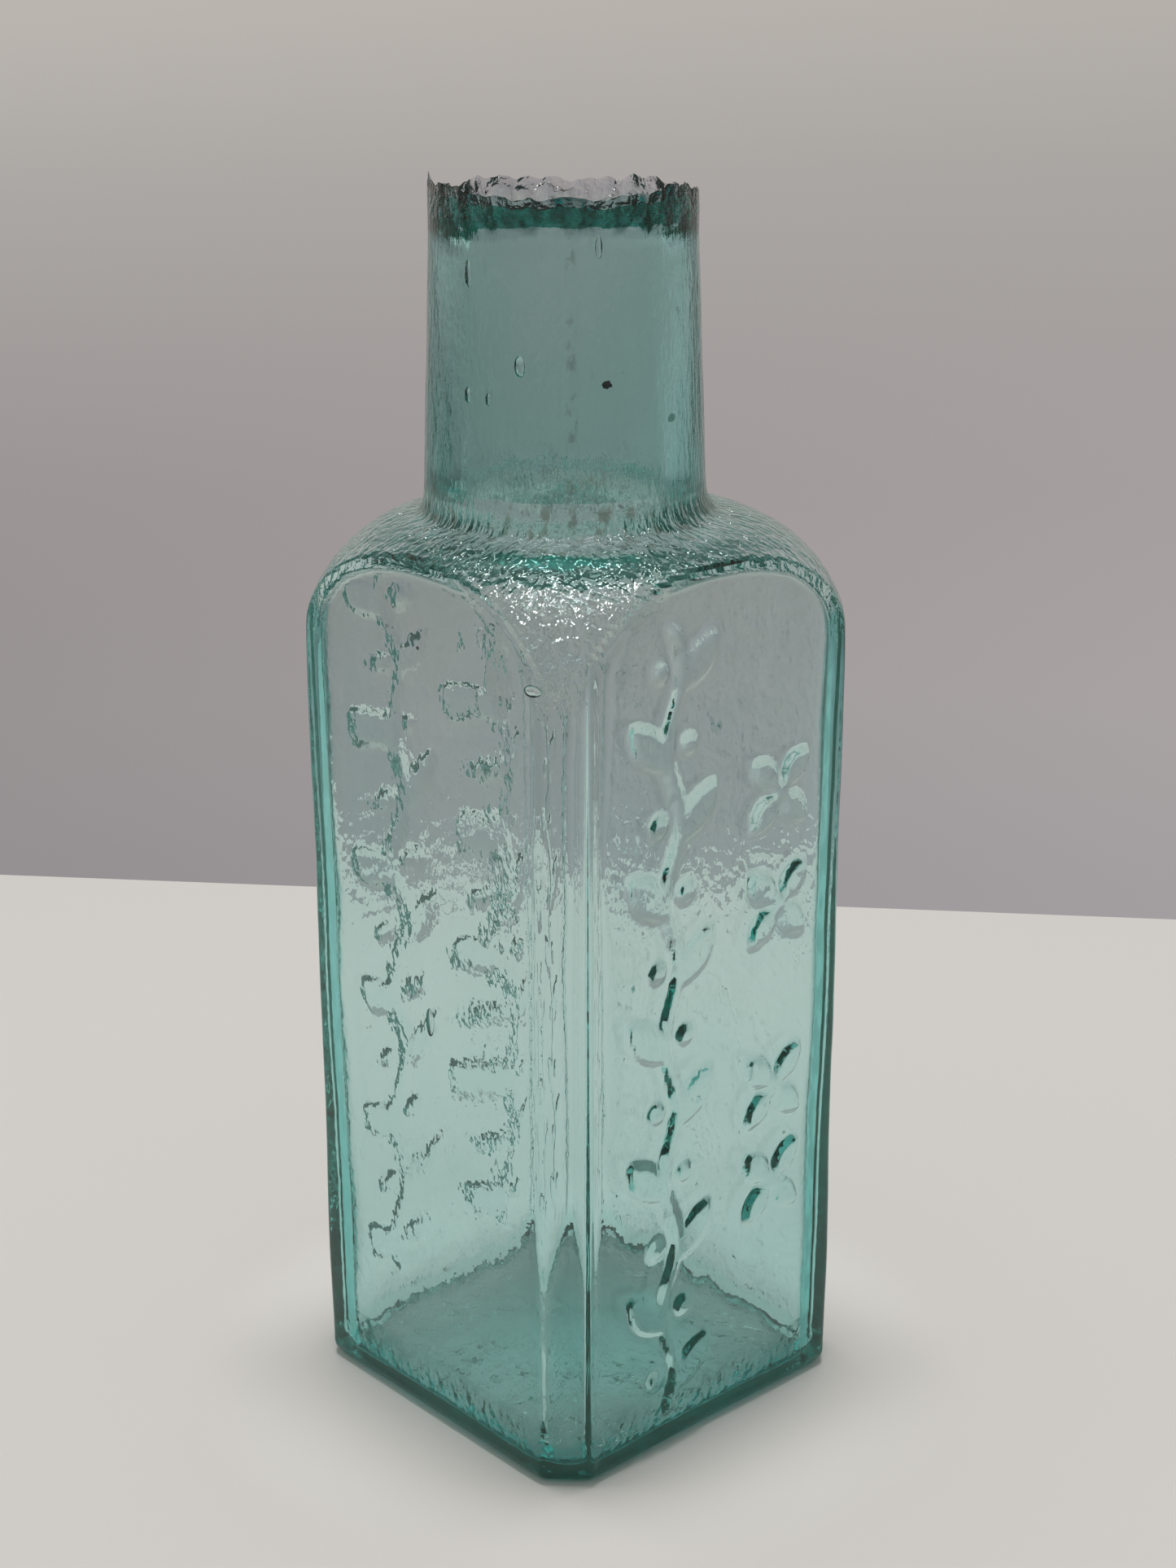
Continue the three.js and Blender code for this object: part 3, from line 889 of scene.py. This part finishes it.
def uneven_height(n):
    """The small unevenness of the skin: drawn-out marks, hammering, pits and fresh breaks."""
    spokes = n.math("MULTIPLY", n.noise(n.spokes(25, 600), 1, 2), n.mark("spoked"))
    hammer = n.math("MULTIPLY", n.noise(n.stretched((1, 1, 0.8)), 800, 1.5), n.mark("hammered"))
    pits = n.math("MULTIPLY", n.noise(n.place(), 1500, 1), n.mark("pitted"))
    shards = n.math("MULTIPLY", n.noise(n.place(), 1300, 2), n.mark("broken"))
    height = n.math("ADD", spokes, hammer)
    height = n.math("MULTIPLY_ADD", pits, 0.2, height)
    return n.math("MULTIPLY_ADD", shards, 1.2, height)


def skin_colour(n):
    """Clear glass with painted shade, teal at the heel and side cuts and dark teal under the lip, at the
    neck's foot and on the side cuts, greyer inside, with brown stains and a few specks.
    """
    # Painted shade: teal at the heel and the side cuts
    colour = n.mix(n.mark("deep"), (1, 1, 1, 1), DEEP_SHADE_COLOUR)
    # Painted shade: mottled dark teal under the lip, at the neck's foot and on the side cuts
    shade_mottle = n.between(n.noise(n.stretched((1, 1, 0.5)), 700, 2), 0.38, 0.58, 0.35, 1.0)
    colour = n.mix(n.math("MULTIPLY", shade_mottle, n.mark("dark_shade")), colour, DARK_SHADE_COLOUR)
    # Greyer inside, more from 40 mm up, and a little in the neck
    colour = n.mix(n.mark("inside_grey"), colour, INSIDE_GREY_COLOUR)
    patches = n.between(n.noise(n.stretched((1, 1, 0.6)), 900, 3), 0.5, 0.62)
    colour = n.mix(n.math("MULTIPLY", patches, n.mark("stained")), colour, STAIN_COLOUR)
    specks = n.between(n.noise(n.place(), 900, 1), 0.76, 0.79)
    colour = n.mix(n.math("MULTIPLY", specks, n.mark("pitted")), colour, SPECK_COLOUR)
    for (x, y, z), radius, shade in STONES:
        away = n.add("VectorMath", operation="DISTANCE")
        n.put(away.inputs[0], n.stretched((1, 1, 1.4)))
        away.inputs[1].default_value = (x * MM, y * MM, z * MM * 1.4)
        ragged = n.math("MULTIPLY_ADD", n.noise(n.place(), 2500, 2), radius * MM, away.outputs["Value"])
        near = n.between(ragged, radius * 1.6 * MM, radius * 1.4 * MM)
        colour = n.mix(near, colour, shade)
    return colour


def aqua_glass():
    material, n, shader = new_material("aqua_glass")
    shader.inputs["Transmission Weight"].default_value = 1
    shader.inputs["IOR"].default_value = GLASS_IOR

    bump = n.add("Bump")
    bump.inputs["Distance"].default_value = BUMP_HEIGHT
    n.put(bump.inputs["Height"], uneven_height(n))
    n.put(shader.inputs["Normal"], bump.outputs["Normal"])

    haze = n.between(n.noise(n.place(), 350, 4), 0.45, 0.75, 0.0, 0.03)
    n.put(shader.inputs["Roughness"], n.math("ADD", haze, 0.002))
    n.put(shader.inputs["Base Color"], skin_colour(n))

    absorb = n.add("VolumeAbsorption")
    absorb.inputs["Color"].default_value = GLASS_COLOUR
    absorb.inputs["Density"].default_value = GLASS_DENSITY
    n.put(n.tree.nodes["Material Output"].inputs["Volume"], absorb.outputs[0])
    return material


TABLE_COLOUR = (0.575, 0.555, 0.532, 1)
FAR_TABLE_COLOUR = (0.40, 0.385, 0.375, 1)
FAR_FROM, FAR_TO = 0.19, 0.34  # metres from the bottle
# Painted light round the base and under it, for the light that the glass gathers there
CLOSE_FROM, CLOSE_TO = 0.042, 0.025
CLOSE_LIGHT_COLOUR = (0.67, 0.65, 0.624, 1)
UNDER_LIGHT_COLOUR = (0.86, 0.89, 0.87, 1)
UNDER_FROM, UNDER_TO = 19.6, 17.5  # millimetres from the axis
FRONT_LIGHT_COLOUR = (0.97, 0.97, 0.95, 1)
FRONT_FROM, FRONT_TO = 0.007, 0.013


def table_paint():
    """Warm white, greyer far off, and lighter by the bottle for the light that the glass gathers."""
    material, n, shader = new_material("pale_table")
    away = n.add("VectorMath", operation="LENGTH")
    n.put(away.inputs[0], n.place())
    far = n.between(away.outputs["Value"], FAR_FROM, FAR_TO)
    colour = n.mix(far, TABLE_COLOUR, FAR_TABLE_COLOUR)
    close = n.between(away.outputs["Value"], CLOSE_FROM, CLOSE_TO)
    colour = n.mix(close, colour, CLOSE_LIGHT_COLOUR)

    # Painted light: a lighter rounded square under the base, for the light that the glass gathers there
    squared = n.add("VectorMath", operation="MULTIPLY")
    n.put(squared.inputs[0], n.place())
    n.put(squared.inputs[1], n.place())
    spread = n.add("VectorMath", operation="LENGTH")
    n.put(spread.inputs[0], squared.outputs[0])
    under = n.between(spread.outputs["Value"], (UNDER_FROM * MM) ** 2, (UNDER_TO * MM) ** 2)

    # Painted light, brighter still: the part of it away from the table's far edge, with a wavy border
    forward = n.add("VectorMath", operation="DOT_PRODUCT")
    n.put(forward.inputs[0], n.place())
    forward.inputs[1].default_value = (-math.cos(TABLE_TURN), -math.sin(TABLE_TURN), 0)
    wavy = n.math("MULTIPLY_ADD", n.noise(n.place(), 300, 3), 0.007, forward.outputs["Value"])
    light = n.mix(n.between(wavy, FRONT_FROM, FRONT_TO), UNDER_LIGHT_COLOUR, FRONT_LIGHT_COLOUR)
    n.put(shader.inputs["Base Color"], n.mix(under, colour, light))
    shader.inputs["Roughness"].default_value = 0.75
    shader.inputs["Specular IOR Level"].default_value = 0.2
    return material


# --- the stage: a pale table top that ends behind the bottle, and a soft room ---

TABLE_EDGE = 131.6  # from the bottle's axis to the far edge
TABLE_TURN = math.radians(41)  # the way the far edge faces, from +X towards +Y
TABLE_REACH = 2500
TABLE_THICKNESS = 25

# The room's colour by the sine of the elevation
ROOM_COLOURS = [
    (-0.40, (0.340, 0.315, 0.330)),
    (-0.34, (0.350, 0.325, 0.335)),
    (-0.28, (0.375, 0.347, 0.347)),
    (-0.20, (0.362, 0.334, 0.330)),
    (-0.14, (0.373, 0.348, 0.340)),
    (-0.076, (0.405, 0.382, 0.365)),
    (-0.018, (0.468, 0.440, 0.410)),
    (0.06, (0.50, 0.475, 0.45)),
    (0.20, (0.50, 0.48, 0.46)),
    (0.50, (0.45, 0.44, 0.425)),
    (1.00, (0.40, 0.40, 0.39)),
]


def table_top(base):
    across = np.array([-math.sin(TABLE_TURN), math.cos(TABLE_TURN)])
    away = np.array([math.cos(TABLE_TURN), math.sin(TABLE_TURN)])
    corners = [
        away * TABLE_EDGE - across * TABLE_REACH,
        away * TABLE_EDGE + across * TABLE_REACH,
        -away * TABLE_REACH + across * TABLE_REACH,
        -away * TABLE_REACH - across * TABLE_REACH,
    ]
    points = [(x, y, base) for x, y in corners] + [(x, y, base - TABLE_THICKNESS) for x, y in corners]
    faces = [(0, 1, 2, 3), (7, 6, 5, 4)]
    faces += [(i, i + 4, (i + 1) % 4 + 4, (i + 1) % 4) for i in range(4)]
    mesh = bpy.data.meshes.new("table_top")
    mesh.from_pydata((np.array(points) * MM).tolist(), [], faces)
    mesh.materials.append(table_paint())
    table = bpy.data.objects.new("table_top", mesh)
    bpy.context.scene.collection.objects.link(table)


def soft_room():
    """Light from all round: a mauve-grey wall below the horizon, brighter towards a pale ceiling."""
    world = bpy.data.worlds.new("soft_room")
    world.use_nodes = True
    n = Nodes(world)
    way = n.add("TexCoord").outputs["Generated"]
    split = n.add("SeparateXYZ")
    n.put(split.inputs[0], way)
    height = split.outputs["Z"]
    ramp = n.add("ValToRGB")
    n.put(ramp.inputs["Fac"], n.math("MULTIPLY_ADD", height, 0.5, third=0.5))
    elements = ramp.color_ramp.elements
    while len(elements) < len(ROOM_COLOURS):
        elements.new(0.5)
    for element, (where, colour) in zip(elements, ROOM_COLOURS):
        element.position = (where + 1) / 2
        element.color = (*colour, 1)
    side = n.add("VectorMath", operation="DOT_PRODUCT")
    n.put(side.inputs[0], way)
    side.inputs[1].default_value = (math.sin(TABLE_TURN), -math.cos(TABLE_TURN), 0)
    leaning = n.between(height, -0.29, -0.02, 0.45, -0.16)
    background = n.tree.nodes["Background"]
    n.put(background.inputs["Color"], ramp.outputs["Color"])
    n.put(background.inputs["Strength"], n.math("MULTIPLY_ADD", side.outputs["Value"], leaning, third=1.0))
    bpy.context.scene.world = world


# The lamp, in degrees and metres
LAMP_AZIMUTH = -130
LAMP_ELEVATION = 92
LAMP_DISTANCE = 1.0
LAMP_WIDTH = 0.32
LAMP_HEIGHT = 0.16
LAMP_RADIANCE = 48


def lamp(name, azimuth, elevation, distance, width, height, radiance):
    """A rectangular soft light aimed at the bottle. Azimuth is from +X towards +Y, in degrees."""
    light = bpy.data.lights.new(name, "AREA")
    light.shape = "RECTANGLE"
    light.size = width
    light.size_y = height
    light.energy = radiance * math.pi * width * height
    a, e = math.radians(azimuth), math.radians(elevation)
    way = Vector((math.cos(a) * math.cos(e), math.sin(a) * math.cos(e), math.sin(e)))
    made = bpy.data.objects.new(name, light)
    made.location = way * distance + Vector((0, 0, TOP * MM / 2))
    made.rotation_euler = way.to_track_quat("Z", "Y").to_euler()
    bpy.context.scene.collection.objects.link(made)


# --- the camera ---

CAMERA_PLACE = (-154.94, -171.0, 138.69)  # millimetres, from the middle of the base
CAMERA_FORWARD = (0.64097, 0.70038, -0.31405)
CAMERA_UP = (0.21409, 0.22979, 0.94940)
CAMERA_LENS = 57.14


def photo_camera():
    camera = bpy.data.cameras.new("photo_camera")
    camera.lens = CAMERA_LENS
    camera.sensor_width = 36
    camera.clip_start = 0.01
    camera.clip_end = 20
    made = bpy.data.objects.new("photo_camera", camera)
    forward, up = Vector(CAMERA_FORWARD).normalized(), Vector(CAMERA_UP).normalized()
    right = forward.cross(up).normalized()
    turn = Matrix((right, right.cross(forward), -forward)).transposed()
    made.matrix_world = Matrix.Translation(Vector(CAMERA_PLACE) * MM) @ turn.to_4x4()
    bpy.context.scene.collection.objects.link(made)
    bpy.context.scene.camera = made


# --- the scene ---

bottle = glass_bottle()
bottle.data.materials.append(aqua_glass())
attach(bottle, "root")
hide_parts(BOTTLE_NODE)

table_top(0)
soft_room()
lamp("key_lamp", LAMP_AZIMUTH, LAMP_ELEVATION, LAMP_DISTANCE, LAMP_WIDTH, LAMP_HEIGHT, LAMP_RADIANCE)
photo_camera()

scene = bpy.context.scene
scene.view_settings.view_transform = "Standard"
scene.cycles.max_bounces = 48
scene.cycles.transmission_bounces = 32
scene.cycles.glossy_bounces = 32
scene.cycles.diffuse_bounces = 4
